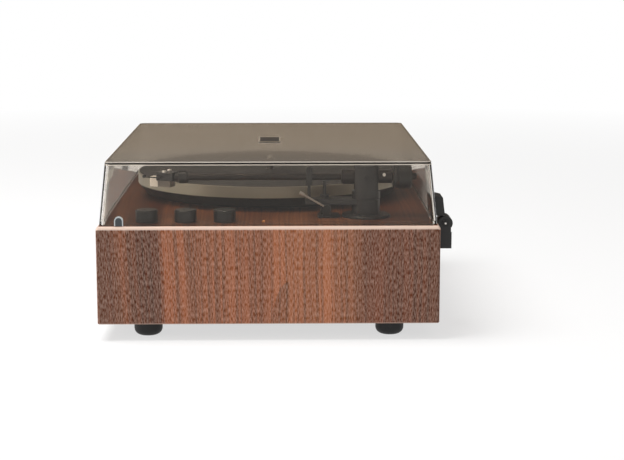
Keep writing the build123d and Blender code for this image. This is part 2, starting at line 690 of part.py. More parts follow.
for i in range(12):
    notch = Pos(collar_r, 0, 0) * Box(0.7, 1.2, collar_l)
    ring = Pos(arm_x, collar_front + 4.2, arm_z) * Rot(90, 0, 0) * Rot(0, 0, 30 * i)
    collar -= ring * notch
save("arm_collar", collar)


def head(s, t, z):
    # A place on the headshell: distance ahead of the collar, to the outer side, and above the deck.
    a = math.radians(head_angle)
    x = arm_x - s * math.sin(a) + t * math.cos(a)
    y = collar_front - s * math.cos(a) - t * math.sin(a)
    return Pos(x, y, z) * Rot(0, 0, -head_angle)


def head_block(s0, s1, t0, t1, z0, z1):
    return head((s0 + s1) / 2, (t0 + t1) / 2, (z0 + z1) / 2) * Box(t1 - t0, s1 - s0, z1 - z0)


# Headshell: a channel open below, screwed to the cartridge
plate_low = 44.4
plate_high = 46.4
shell = head_block(2.5, head_l, -head_w / 2, head_w / 2, 38.0, plate_high)
shell = fillet(shell.edges().filter_by(Axis.Z), 1.5)
shell = fillet(shell.faces().sort_by(Axis.Z)[-1].edges(), 0.7)
shell -= head_block(5.0, head_l + 1, -head_w / 2 + head_wall, head_w / 2 - head_wall, 37.0, plate_low)
neck = bar_y(arm_x, arm_z, collar_front - 6.5, collar_front, 4.2)
neck = neck & block(arm_x - 10, arm_x + 10, collar_front - 6.0, collar_front, 30, 50)
screw_ts = (-6.0, 6.0)
screw_s = 13.5
shell += neck - head_block(5.0, 12, -head_w / 2 + head_wall, head_w / 2 - head_wall, 37.0, plate_low)
for t in screw_ts:
    shell -= head(screw_s, t, 45.4) * Cylinder(1.3, 4)
save("headshell", shell)
for t in screw_ts:
    pan = head(screw_s, t, plate_high + 0.9) * Cylinder(2.3, 1.8)
    pan = fillet(pan.faces().sort_by(Axis.Z)[-1].edges(), 0.6)
    pan -= head(screw_s, t, plate_high + 1.8) * Box(4.0, 0.7, 1.2)
    arm_screws.append(pan + head(screw_s, t, plate_high - 1.0) * Cylinder(1.2, 2.0))
save("arm_screws", Compound(children=arm_screws))

# Finger lift: a thin strip from the outer wall, curling forwards and up
strip = head_block(head_l - 7, head_l - 2, head_w / 2, head_w / 2 + 4.0, 41.0, 42.0)
strip += head_block(head_l - 5, head_l + 10, head_w / 2 + 2.6, head_w / 2 + 5.0, 41.0, 42.0)
strip += head(head_l + 11.2, head_w / 2 + 3.8, 42.1) * Rot(0, 90, 0) * Cylinder(1.6, 2.4)
save("finger_lift", strip)

# Cartridge body with its pins, and the stylus holder at its front
low = record_top + 1.2
cart_back = 7.2
cart_front = head_l - 0.6
cart = head_block(cart_back, cart_front, -7.0, 7.0, low, plate_low)
cart -= head_block(cart_back, cart_front, -7.0, -5.6, low, 36.8)
cart -= head_block(cart_back, cart_front, 5.6, 7.0, low, 36.8)
for t in screw_ts:
    cart -= head(screw_s, t, plate_low) * Cylinder(1.2, 6)
for t in (-3, 3):
    for z in (34.0, 38.0):
        cart += head(cart_back - 0.8, t, z) * Rot(90, 0, 0) * Cylinder(0.6, 2.0)
save("cartridge", cart)

nose = head_block(cart_front, cart_front + 10.0, -6.0, 6.0, low, 40.8)
nose = chamfer(nose.edges().filter_by(Axis.Z).sort_by(Axis.Y)[:2], 2.0)
tip_s = cart_front + 6.8
tip = head(tip_s, 0, record_top + 0.5) * Cone(0.15, 0.5, 1.0)
arm_rod = head(tip_s - 2.0, 0, low - 0.3) * Rot(90, 0, 0) * Cylinder(0.35, 5.0)
save("stylus", nose + tip + arm_rod)

# Counterweight turning on a sleeve that runs along the tail
weight_front = block_back + weight_gap
sleeve = turned_y(arm_x, arm_z, [
    (tail_r + run_fit, weight_front), (sleeve_r, weight_front), (sleeve_r, weight_front + weight_l),
    (tail_r + run_fit, weight_front + weight_l),
])
save("weight_sleeve", sleeve)
weight = turned_y(arm_x, arm_z, [
    (sleeve_r + run_fit, weight_front), (weight_r - 1.0, weight_front), (weight_r, weight_front + 1.0),
    (weight_r, weight_front + 4.0), (weight_r - 0.5, weight_front + 4.5),
    (weight_r - 0.5, weight_front + 5.5), (weight_r, weight_front + 6.0),
    (weight_r, weight_front + weight_l - 1.0), (weight_r - 1.0, weight_front + weight_l),
    (sleeve_r + run_fit, weight_front + weight_l),
])
for i in range(4):
    weight -= Pos(arm_x, weight_front, arm_z) * Rot(0, 90 * i, 0) * Pos(0, 0, 10.2) * Box(0.6, 0.8, 2.4)
save("counterweight", weight)

# Knobs with pointers, the controls below them and the lamp in the same row
for i, y in enumerate(knob_ys, start=1):
    knob = post(knob_x, y, 0.5, knob_h, knob_r)
    knob = chamfer(knob.faces().sort_by(Axis.Z)[-1].edges(), 0.8)
    knob -= Pos(knob_x, y - knob_r / 2 - 1.5, knob_h) * Box(1.2, knob_r, 0.8)
    knob += post(knob_x, y, -wall - 4, 0.5, stem_r)
    save("knob_" + str(i), knob)
controls = []
for y in knob_ys:
    control = block(knob_x - 9, knob_x + 9, y - 9, y + 9, -wall - 10, -wall)
    controls.append(control - post(knob_x, y, -wall - 4.4, -wall, stem_r + run_fit))
save("control_bodies", Compound(children=controls))
lamp = post(knob_x, lamp_y, -wall, 0.2, lamp_r)
save("lamp", lamp + Pos(knob_x, lamp_y, 0.2) * (Sphere(lamp_r) & Pos(0, 0, 1) * Box(5, 5, 2)))
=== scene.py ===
import math

import bpy
from mathutils import Matrix, Vector


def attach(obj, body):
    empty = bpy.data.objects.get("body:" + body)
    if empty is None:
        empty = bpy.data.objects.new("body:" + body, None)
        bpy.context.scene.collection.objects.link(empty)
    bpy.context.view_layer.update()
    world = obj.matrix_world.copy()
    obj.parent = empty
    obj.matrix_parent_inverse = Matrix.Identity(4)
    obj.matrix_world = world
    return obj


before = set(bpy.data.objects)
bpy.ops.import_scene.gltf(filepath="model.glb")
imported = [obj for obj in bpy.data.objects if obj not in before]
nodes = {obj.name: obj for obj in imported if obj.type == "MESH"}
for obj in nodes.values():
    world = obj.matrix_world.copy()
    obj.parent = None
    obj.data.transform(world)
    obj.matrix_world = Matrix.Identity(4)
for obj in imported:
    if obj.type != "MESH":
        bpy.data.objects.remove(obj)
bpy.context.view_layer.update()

MM = 0.001

# Levels and places shared with the solids, in metres
SIDE_X = 0.210
PLINTH_FRONT_Y = -0.1812
PLINTH_DEPTH = 0.345
DECK_Z = 0.117
PLATTER_AXIS = (-0.0265, -0.0087)
RIM_LOW = DECK_Z + 0.0149
MAT_TOP = DECK_Z + 0.0278
SPINDLE_DOME = DECK_Z + 0.0370
COVER_TOP = 0.1803
COVER_SHEET = 3.0 * MM
COVER_EDGE_ROUND = 1.2 * MM
BADGE_RIM_LOW = COVER_TOP + 0.0008
KNOB_X = 0.182
KNOB_Y = -0.1322
KNOB_PITCH = 0.0395
KNOB_TOP = DECK_Z + 0.0130

# Axes along X, as (Y, Z)
HINGE_AXIS = (0.1737, 0.1113)
LEVER_HUB = (0.0513, 0.1277)
BUMPER_ARCH = (-0.1581, 0.1220)

# Node kinds and settings that come again and again
COORDINATES = "ShaderNodeTexCoord"
SPLIT = "ShaderNodeSeparateXYZ"
JOIN = "ShaderNodeCombineXYZ"
MAPPING = "ShaderNodeMapping"
NOISE = "ShaderNodeTexNoise"
MATH = "ShaderNodeMath"
VECTOR_MATH = "ShaderNodeVectorMath"
MAP_RANGE = "ShaderNodeMapRange"
MIX = "ShaderNodeMix"
BUMP = "ShaderNodeBump"
PRINCIPLED = "ShaderNodeBsdfPrincipled"
TIMES = {"operation": "MULTIPLY"}
TIMES_PLUS = {"operation": "MULTIPLY_ADD"}
MINUS = {"operation": "SUBTRACT"}
UNSIGNED = {"operation": "ABSOLUTE"}
LARGER = {"operation": "MAXIMUM"}
OVER = {"operation": "GREATER_THAN"}
LENGTH = {"operation": "LENGTH"}
BLEND = {"data_type": "RGBA"}
OVERPRINT = {"data_type": "RGBA", "blend_type": "MULTIPLY"}

# Finishes: the index of plastic and paint, and how far a grain spreads their roughness
PLASTIC_IOR = 1.5
ROUGHNESS_SPREAD = 0.12
COAT_ROUGHNESS = 0.12
METAL_FROM = 0.5
MASK_SOFT = 0.1 * MM

# Walnut print, from the front edge (0) to the back edge (1): tone, darker at both ends with painted
# shade, share of lines, share of flecks
BOARD_TONES_AND_END_SHADE = [
    (0.000, "#572911"), (0.025, "#5a2a12"), (0.045, "#713a1b"), (0.085, "#633014"),
    (0.110, "#55260e"), (0.160, "#57260e"), (0.185, "#854725"), (0.330, "#894b29"),
    (0.480, "#834625"), (0.560, "#8d502d"), (0.740, "#874d2c"), (0.790, "#643016"),
    (0.900, "#612f17"), (1.000, "#5a2c15"),
]
LINE_SHARES = [(0.03, 0.5), (0.10, 0.9), (0.16, 1.0), (0.30, 0.9), (0.62, 0.8), (0.85, 0.8)]
FLECK_SHARES = [
    (0.02, 0.15), (0.05, 0.8), (0.14, 0.4), (0.30, 0.9), (0.47, 0.8), (0.60, 0.5), (0.80, 0.7),
]

# Each printed layer: features per metre across and along the grain, detail, and noise to brightness
SLOW_LAYER = (60.0, 2.5, 2.0, [(0.35, 0.84), (0.65, 1.14)])
LINE_LAYER = (400.0, 3.0, 3.0, [(0.36, 0.52), (0.47, 0.90), (0.62, 1.34)])
FLECK_LAYER = (950.0, 210.0, 2.0, [(0.34, 0.74), (0.50, 0.98), (0.66, 1.26)])
LEAN = 0.045
LEAN_FROM_Y, LEAN_TO_Y = -0.100, -0.020
SWAY = 6.0 * MM
SWAYS_PER_M = (22.0, 9.0, 1.0)

# The arch in the grain: its foot, its half width and height, and where it ends towards the back
ARCH_FOOT = (SIDE_X, 0.0125, 0.017)
ARCH_SIZE = (0.030, 0.0175, 0.044)
ARCH_PRINT = [(0.0, 0.80), (0.90, 0.60), (0.97, 0.52), (1.0, 1.0)]
ARCH_END_FROM, ARCH_END_TO = -0.10, 0.05

# Where a face belongs, by the size of its normal, and where the level strips start in the noise
END_NORMAL = 0.8
DECK_NORMAL = 0.98
STRIP_LEVEL = 0.12
STRIP_SLICE = 0.3

# The painted edge highlight's colour and the deck's painted shade, then for each edge the normal's
# Z from, to and how soft, and how much of the painted highlight shows
EDGE_HIGHLIGHT_PAINT = "#dcc4b5"
DECK_PAINTED_SHADE = (0.66, 0.84, 1.05, 1.0)
TOP_EDGE, TOP_HIGHLIGHT = (0.40, 1.06, 0.28), 0.95
BOTTOM_EDGE, BOTTOM_HIGHLIGHT = (-0.95, -0.2, 0.1), 0.45
RAG = 0.16

# Smoked acrylic: what one surface lets through, in the walls, in the top and for shadows, then the
# normal's Z on the rounded edge and at the inner corner, and the width and strength of their
# painted highlight lines
WALL_TINT = (0.81, 0.775, 0.73)
TOP_TINT = (0.50, 0.44, 0.37)
SHADOW_TINT = (0.66, 0.64, 0.62, 1.0)
ACRYLIC_IOR = 1.49
EDGE_NORMAL = (0.25, 0.96, 0.05)
CORNER_NORMAL = (-0.9, 0.9, 0.05)
CORNER_LINE = 0.7 * MM
EDGE_HIGHLIGHT_SHARE = 0.6


def colour(hex_value):
    # An sRGB hex value turned to linear light
    parts = [int(hex_value[i:i + 2], 16) / 255 for i in (1, 3, 5)]
    linear = [c / 12.92 if c <= 0.04045 else ((c + 0.055) / 1.055) ** 2.4 for c in parts]
    return (*linear, 1.0)


def material(name):
    made = bpy.data.materials.new(name)
    made.use_nodes = True
    made.node_tree.nodes.clear()
    return made


def add(tree, kind, settings=None, **links):
    # One node, with its settings and with sockets given a value or a link. A socket is named, with
    # _ for a space, or numbered, as in i4
    node = tree.nodes.new(kind)
    for key, value in (settings or {}).items():
        setattr(node, key, value)
    for key, value in links.items():
        name = key.replace("_", " ")
        socket = node.inputs[int(key[1:])] if key[1:].isdigit() else node.inputs[name]
        if isinstance(value, bpy.types.NodeSocket):
            tree.links.new(value, socket)
        else:
            socket.default_value = value
    return node


def ramp(tree, factor, stops):
    # A colour ramp, from stops with a place and a grey level, an sRGB hex value or linear RGB
    node = add(tree, "ShaderNodeValToRGB", Fac=factor)
    band = node.color_ramp
    while len(band.elements) < len(stops):
        band.elements.new(0.5)
    for element, (place, value) in zip(band.elements, stops):
        if isinstance(value, str):
            value = colour(value)
        elif isinstance(value, float):
            value = (value, value, value)
        element.position = place
        element.color = (*value[:3], 1.0)
    return node.outputs["Color"]


def between(tree, value, low, high, soft):
    # 1 from low to high, fading out over a soft distance beyond each end
    rise = add(tree, MAP_RANGE, Value=value, i1=low - soft, i2=low, i3=0.0, i4=1.0).outputs[0]
    fall = add(tree, MAP_RANGE, Value=value, i1=high, i2=high + soft, i3=1.0, i4=0.0).outputs[0]
    return add(tree, MATH, TIMES, i0=rise, i1=fall).outputs[0]


def finish_surface(tree, shader):
    add(tree, "ShaderNodeOutputMaterial", Surface=shader)


def plain(name, hex_value, roughness, metallic=0.0, grain_mm=0.0, grain_depth=0.0, coat=0.0):
    # A one-colour finish with a fine moulded, cast or blasted grain, sized in mm
    made = material(name)
    tree = made.node_tree
    place = add(tree, COORDINATES).outputs["Object"]
    values = {"Base_Color": colour(hex_value), "Roughness": roughness, "Metallic": metallic}
    if metallic < METAL_FROM:
        values["IOR"] = PLASTIC_IOR
    if coat:
        values["Coat_Weight"] = coat
        values["Coat_Roughness"] = COAT_ROUGHNESS
    if grain_mm:
        grain = add(
            tree, NOISE, Vector=place, Scale=1.0 / (grain_mm * MM), Detail=3.0
        ).outputs["Fac"]
        values["Roughness"] = add(
            tree, MAP_RANGE, Value=grain, i1=0.3, i2=0.7, i3=roughness * (1.0 - ROUGHNESS_SPREAD),
            i4=min(1.0, roughness * (1.0 + ROUGHNESS_SPREAD)),
        ).outputs[0]
        values["Normal"] = add(
            tree, BUMP, Height=grain, Strength=0.5, Distance=grain_depth * MM
        ).outputs["Normal"]
    finish_surface(tree, add(tree, PRINCIPLED, **values).outputs[0])
    return made


def sheet_place(tree, place, normal):
    # Where a point lies on the printed sheet: X across the grain, Y along it. The sheet runs up one
    # side, over the deck and down the other, so its grain runs that way. The front and the back
    # have level strips of their own
    end_on = add(tree, MATH, UNSIGNED, i0=normal["Y"]).outputs[0]
    on_end = add(tree, MATH, OVER, i0=end_on, i1=END_NORMAL).outputs[0]
    sideways = add(tree, MATH, UNSIGNED, i0=place["X"]).outputs[0]
    along = add(tree, MATH, MINUS, i0=place["Z"], i1=sideways).outputs[0]
    wrapped = add(tree, JOIN, X=place["Y"], Y=along, Z=0.0).outputs[0]
    strip_height = add(tree, MATH, MINUS, i0=place["Z"], i1=STRIP_LEVEL).outputs[0]
    strip = add(tree, JOIN, X=strip_height, Y=place["X"], Z=STRIP_SLICE).outputs[0]
    return add(
        tree, MIX, {"data_type": "VECTOR"}, i0=on_end, i4=wrapped, i5=strip
    ).outputs[1]


def painted_edge_highlight_share(tree, height, upward, fleck):
    # Painted highlight: the film is painted pale round the top edge, with a ragged start, and a
    # little round the bottom edge, standing in for the light on the rounded edges
    ragged = add(tree, MATH, TIMES_PLUS, i0=fleck, i1=RAG, i2=upward).outputs[0]
    round_top = between(tree, ragged, *TOP_EDGE)
    below_deck = add(
        tree, MAP_RANGE, Value=height, i1=DECK_Z - 0.5 * MM, i2=DECK_Z - 0.1 * MM, i3=1.0, i4=0.0
    ).outputs[0]
    round_top = add(tree, MATH, TIMES, i0=round_top, i1=below_deck).outputs[0]
    top_share = add(tree, MATH, TIMES, i0=round_top, i1=TOP_HIGHLIGHT).outputs[0]
    round_bottom = between(tree, upward, *BOTTOM_EDGE)
    low_share = add(tree, MATH, TIMES, i0=round_bottom, i1=BOTTOM_HIGHLIGHT).outputs[0]
    return add(tree, MATH, LARGER, i0=top_share, i1=low_share).outputs[0]


def walnut_wrap():
    # Walnut-print vinyl wrapped on board: printed grain, a faint pore emboss and a satin sheen,
    # with painted highlights on its edges and painted shade on the deck and towards the ends
    made = material("walnut print vinyl wrap, satin")
    tree = made.node_tree
    coordinates = add(tree, COORDINATES).outputs
    place = add(tree, SPLIT, Vector=coordinates["Object"]).outputs
    normal = add(tree, SPLIT, Vector=coordinates["Normal"]).outputs
    sheet = sheet_place(tree, place, normal)
    on_sheet = add(tree, SPLIT, Vector=sheet).outputs

    # The lines lean by 2.6 degrees near the front of the side and stand upright further back
    slope = add(
        tree, MAP_RANGE, Value=on_sheet["X"], i1=LEAN_FROM_Y, i2=LEAN_TO_Y, i3=LEAN, i4=0.0
    ).outputs[0]
    across = add(
        tree, MATH, TIMES_PLUS, i0=on_sheet["Y"], i1=slope, i2=on_sheet["X"]
    ).outputs[0]
    leaning = add(tree, JOIN, X=across, Y=on_sheet["Y"], Z=on_sheet["Z"]).outputs[0]
    slow_place = add(tree, MAPPING, Vector=sheet, Scale=SWAYS_PER_M).outputs[0]
    slow_noise = add(tree, NOISE, Vector=slow_place, Scale=1.0, Detail=1.0).outputs["Color"]
    swaying = add(
        tree, VECTOR_MATH, TIMES_PLUS, i0=slow_noise, i1=(SWAY, 0.0, 0.0), i2=leaning
    ).outputs[0]

    def layer(features_across, features_along, detail, stops):
        scaled = add(
            tree, MAPPING, Vector=swaying, Scale=(features_across, features_along, 1.0)
        ).outputs[0]
        noise = add(tree, NOISE, Vector=scaled, Scale=1.0, Detail=detail).outputs["Fac"]
        return ramp(tree, noise, stops)

    from_front = add(
        tree, MAP_RANGE, Value=across, i1=PLINTH_FRONT_Y, i2=PLINTH_FRONT_Y + PLINTH_DEPTH, i3=0.0,
        i4=1.0,
    ).outputs[0]
    # The tone is the print's, and darker towards both ends with painted shade where the light falls
    # off
    print_and_painted_light = ramp(tree, from_front, BOARD_TONES_AND_END_SHADE)
    slow, lines, fleck = layer(*SLOW_LAYER), layer(*LINE_LAYER), layer(*FLECK_LAYER)
    line_share = ramp(tree, from_front, LINE_SHARES)
    fleck_share = ramp(tree, from_front, FLECK_SHARES)

    # One cathedral arch low on the right side, printed to the front of its middle only
    in_arch = add(
        tree, MAPPING, {"vector_type": "TEXTURE"}, Vector=coordinates["Object"],
        Location=ARCH_FOOT, Scale=ARCH_SIZE,
    ).outputs[0]
    arch_radius = add(tree, VECTOR_MATH, LENGTH, i0=in_arch).outputs["Value"]
    arch = ramp(tree, arch_radius, ARCH_PRINT)
    arch_side = add(tree, SPLIT, Vector=in_arch).outputs["Y"]
    arch_share = add(
        tree, MAP_RANGE, Value=arch_side, i1=ARCH_END_FROM, i2=ARCH_END_TO, i3=1.0, i4=0.0
    ).outputs[0]
    layers = ((1.0, slow), (line_share, lines), (fleck_share, fleck), (arch_share, arch))
    for share, print_layer in layers:
        print_and_painted_light = add(tree, MIX, OVERPRINT, i0=share, i6=print_and_painted_light, i7=print_layer).outputs[2]

    # Painted highlight: pale colour on the rounded top edge and the bottom edge, where the light
    # falls on them
    edge_highlight_share = painted_edge_highlight_share(tree, place["Z"], normal["Z"], fleck)
    print_and_painted_light = add(tree, MIX, BLEND, i0=edge_highlight_share, i6=print_and_painted_light, i7=colour(EDGE_HIGHLIGHT_PAINT)).outputs[2]
    # Through the cover, the photo shows the deck darker and browner than the side. This tint is
    # fitted to that, and nothing says that the real film differs there
    # Painted shade: the deck is darkened and made less orange, standing in for the dimmer light
    # under the cover
    on_deck = add(tree, MATH, OVER, i0=normal["Z"], i1=DECK_NORMAL).outputs[0]
    print_and_painted_light = add(tree, MIX, OVERPRINT, i0=on_deck, i6=print_and_painted_light, i7=DECK_PAINTED_SHADE).outputs[2]
    emboss = add(tree, BUMP, Height=fleck, Strength=0.25, Distance=0.05 * MM).outputs["Normal"]
    shader = add(
        tree, PRINCIPLED, Base_Color=print_and_painted_light, Roughness=0.38, Specular_IOR_Level=0.12, Normal=emboss
    )
    finish_surface(tree, shader.outputs[0])
    return made


def smoked_acrylic():
    # Moulded acrylic, smoked brown: clear, glossy and darkening with each wall seen through. The
    # top's deeper tint is fitted to the photo, which doesn't say why it looks darker. The rounded
    # top edge and the inner corner one sheet below it have painted highlights, thin pale lines of
    # flat colour
    made = material("smoked brown acrylic, moulded and clear")
    tree = made.node_tree
    coordinates = add(tree, COORDINATES).outputs
    height = add(tree, SPLIT, Vector=coordinates["Object"]).outputs["Z"]
    upward = add(tree, SPLIT, Vector=coordinates["Normal"]).outputs["Z"]
    level = add(tree, MATH, UNSIGNED, i0=upward).outputs[0]
    tint = ramp(tree, level, [(0.90, WALL_TINT), (0.98, TOP_TINT)])
    body = add(
        tree, PRINCIPLED, Base_Color=tint, Roughness=0.02, IOR=ACRYLIC_IOR,
        Transmission_Weight=1.0,
    ).outputs[0]
    outer = add(
        tree, MATH, TIMES, i0=between(tree, upward, *EDGE_NORMAL),
        i1=between(
            tree, height, COVER_TOP - COVER_EDGE_ROUND, COVER_TOP + MASK_SOFT, MASK_SOFT
        ),
    ).outputs[0]
    under_top = COVER_TOP - COVER_SHEET
    inner = add(
        tree, MATH, TIMES, i0=between(tree, upward, *CORNER_NORMAL),
        i1=between(tree, height, under_top - CORNER_LINE, under_top, MASK_SOFT),
    ).outputs[0]
    lines = add(tree, MATH, LARGER, i0=outer, i1=inner).outputs[0]
    share = add(tree, MATH, TIMES, i0=lines, i1=EDGE_HIGHLIGHT_SHARE).outputs[0]
    # Painted highlight: a flat pale colour on the edge lines
    painted_highlight = add(tree, "ShaderNodeBsdfDiffuse", Color=colour("#dcd2c6")).outputs[0]
    edged = add(tree, "ShaderNodeMixShader", i0=share, i1=body, i2=painted_highlight).outputs[0]
    clear = add(tree, "ShaderNodeBsdfTransparent", Color=SHADOW_TINT).outputs[0]
    shadow = add(tree, "ShaderNodeLightPath").outputs["Is Shadow Ray"]
    finish_surface(tree, add(tree, "ShaderNodeMixShader", i0=shadow, i1=edged, i2=clear).outputs[0])
    return made


def two_colours_by_place(name, first, second, mask, metallic=(0.0, 0.0), roughness=0.4):
    # One piece in two colours, told apart by where a point lies on it: two real finishes, or one
    # finish with a painted highlight
    made = material(name)
    tree = made.node_tree
    share = mask(tree, add(tree, COORDINATES).outputs["Object"])
    tint = add(tree, MIX, BLEND, i0=share, i6=colour(first), i7=colour(second)).outputs[2]
    metal = add(
        tree, MAP_RANGE, Value=share, i1=0.0, i2=1.0, i3=metallic[0], i4=metallic[1]
    ).outputs[0]
    shader = add(tree, PRINCIPLED, Base_Color=tint, Roughness=roughness, Metallic=metal)
    finish_surface(tree, shader.outputs[0])
    return made


def above(level, soft):
    # A mask that is 1 above a level
    def mask(tree, place):
        height = add(tree, SPLIT, Vector=place).outputs["Z"]
        return add(
            tree, MAP_RANGE, Value=height, i1=level - soft, i2=level, i3=0.0, i4=1.0
        ).outputs[0]
    return mask


def within(axis, radius):
    # A mask that is 1 within a radius of an axis along X
    def mask(tree, place):
        centred = add(tree, MAPPING, Vector=place, Location=(0.0, -axis[0], -axis[1])).outputs[0]
        flat = add(tree, VECTOR_MATH, TIMES, i0=centred, i1=(0.0, 1.0, 1.0)).outputs[0]
        distance = add(tree, VECTOR_MATH, LENGTH, i0=flat).outputs["Value"]
        return add(
            tree, MAP_RANGE, Value=distance, i1=radius, i2=radius + MASK_SOFT, i3=1.0, i4=0.0
        ).outputs[0]
    return mask


def bumper_skin(tree, place):
    # A mask that is 1 on the skin of the bumper, which is an arch on two straight sides
    parts = add(tree, SPLIT, Vector=place).outputs
    y = add(tree, MATH, MINUS, i0=parts["Y"], i1=BUMPER_ARCH[0]).outputs[0]
    z = add(tree, MATH, MINUS, i0=parts["Z"], i1=BUMPER_ARCH[1]).outputs[0]
    z_above = add(tree, MATH, LARGER, i0=z, i1=0.0).outputs[0]
    from_middle = add(tree, JOIN, X=0.0, Y=y, Z=z_above).outputs[0]
    distance = add(tree, VECTOR_MATH, LENGTH, i0=from_middle).outputs["Value"]
    return between(tree, distance, 3.5 * MM, 9.0 * MM, 0.2 * MM)


def turned_platter():
    # Cast aluminium with fine rings turned round its axle, and painted shade, near black, on its
    # underside
    made = material("cast aluminium, satin, turned, with a blackened underside")
    tree = made.node_tree
    place = add(tree, COORDINATES).outputs["Object"]
    centred = add(
        tree, MAPPING, Vector=place, Location=(-PLATTER_AXIS[0], -PLATTER_AXIS[1], 0.0)
    ).outputs[0]
    flat = add(tree, VECTOR_MATH, TIMES, i0=centred, i1=(1.0, 1.0, 0.0)).outputs[0]
    radius = add(tree, VECTOR_MATH, LENGTH, i0=flat).outputs["Value"]
    height = add(tree, SPLIT, Vector=place).outputs["Z"]
    ring_place = add(tree, JOIN, X=radius, Y=height, Z=0.0).outputs[0]
    ring_width = 0.5 * MM
    rings = add(tree, NOISE, Vector=ring_place, Scale=1.0 / ring_width, Detail=2.0).outputs["Fac"]
    turned = add(tree, BUMP, Height=rings, Strength=0.3, Distance=0.04 * MM).outputs["Normal"]
    # Painted shade: below the rim's lower edge the metal is painted near black, standing in for the
    # shadow under the platter
    bright = add(
        tree, MAP_RANGE, Value=height, i1=RIM_LOW, i2=RIM_LOW + 0.6 * MM, i3=0.0, i4=1.0
    ).outputs[0]
    tint = add(tree, MIX, BLEND, i0=bright, i6=colour("#0b0a0a"), i7=colour("#989282")).outputs[2]
    shader = add(
        tree, PRINCIPLED, Base_Color=tint, Metallic=0.55, Roughness=0.36, Normal=turned
    )
    finish_surface(tree, shader.outputs[0])
    return made


def grille_weave():
    # Woven speaker cloth with threads drawn 1.2 mm wide, because real ones are too fine to show
    made = material("woven black speaker cloth")
    tree = made.node_tree
    place = add(tree, COORDINATES).outputs["Object"]
    thread = 1.2 * MM
    threads = [
        add(
            tree, "ShaderNodeTexWave", {"bands_direction": direction}, Vector=place,
            Scale=math.pi / (20.0 * thread), Distortion=0.0,
        ).outputs["Fac"]
        for direction in ("X", "Z")
    ]
    weave = add(tree, MATH, TIMES, i0=threads[0], i1=threads[1]).outputs[0]
    tint = ramp(tree, weave, [(0.0, "#0c0b0a"), (1.0, "#2c2926")])
    bump = add(tree, BUMP, Height=weave, Strength=0.6, Distance=0.3 * MM).outputs["Normal"]
    shader = add(tree, PRINCIPLED, Base_Color=tint, Roughness=0.9, Normal=bump)
    finish_surface(tree, shader.outputs[0])
    return made


